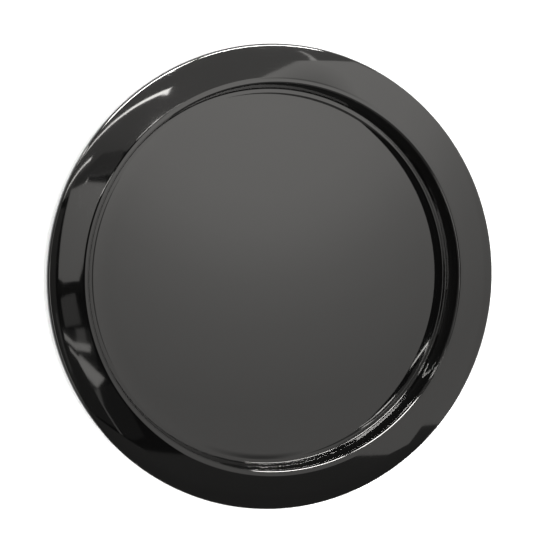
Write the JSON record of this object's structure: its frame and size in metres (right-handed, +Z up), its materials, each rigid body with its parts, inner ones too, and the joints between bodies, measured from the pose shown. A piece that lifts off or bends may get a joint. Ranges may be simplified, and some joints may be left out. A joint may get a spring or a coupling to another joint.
{
  "type": "serving tray",
  "caption": "Round one-piece serving tray with a flat well, a steep wall and a broad rim that falls away to a turned-down edge, in gloss black moulded plastic.",
  "frame": {"origin": "centre of the underside of the well floor, on the surface that the tray stands on", "axes": "+Z up, along the axis that the tray is turned about; +X and +Y are any two square directions across it"},
  "size_m": [0.4059, 0.406, 0.0271],
  "materials": {
    "tray_plastic": "gloss black, as moulded against a polished tool"
  },
  "bodies": {
    "root": {"tray": "tray_plastic"}
  },
  "joints": []
}
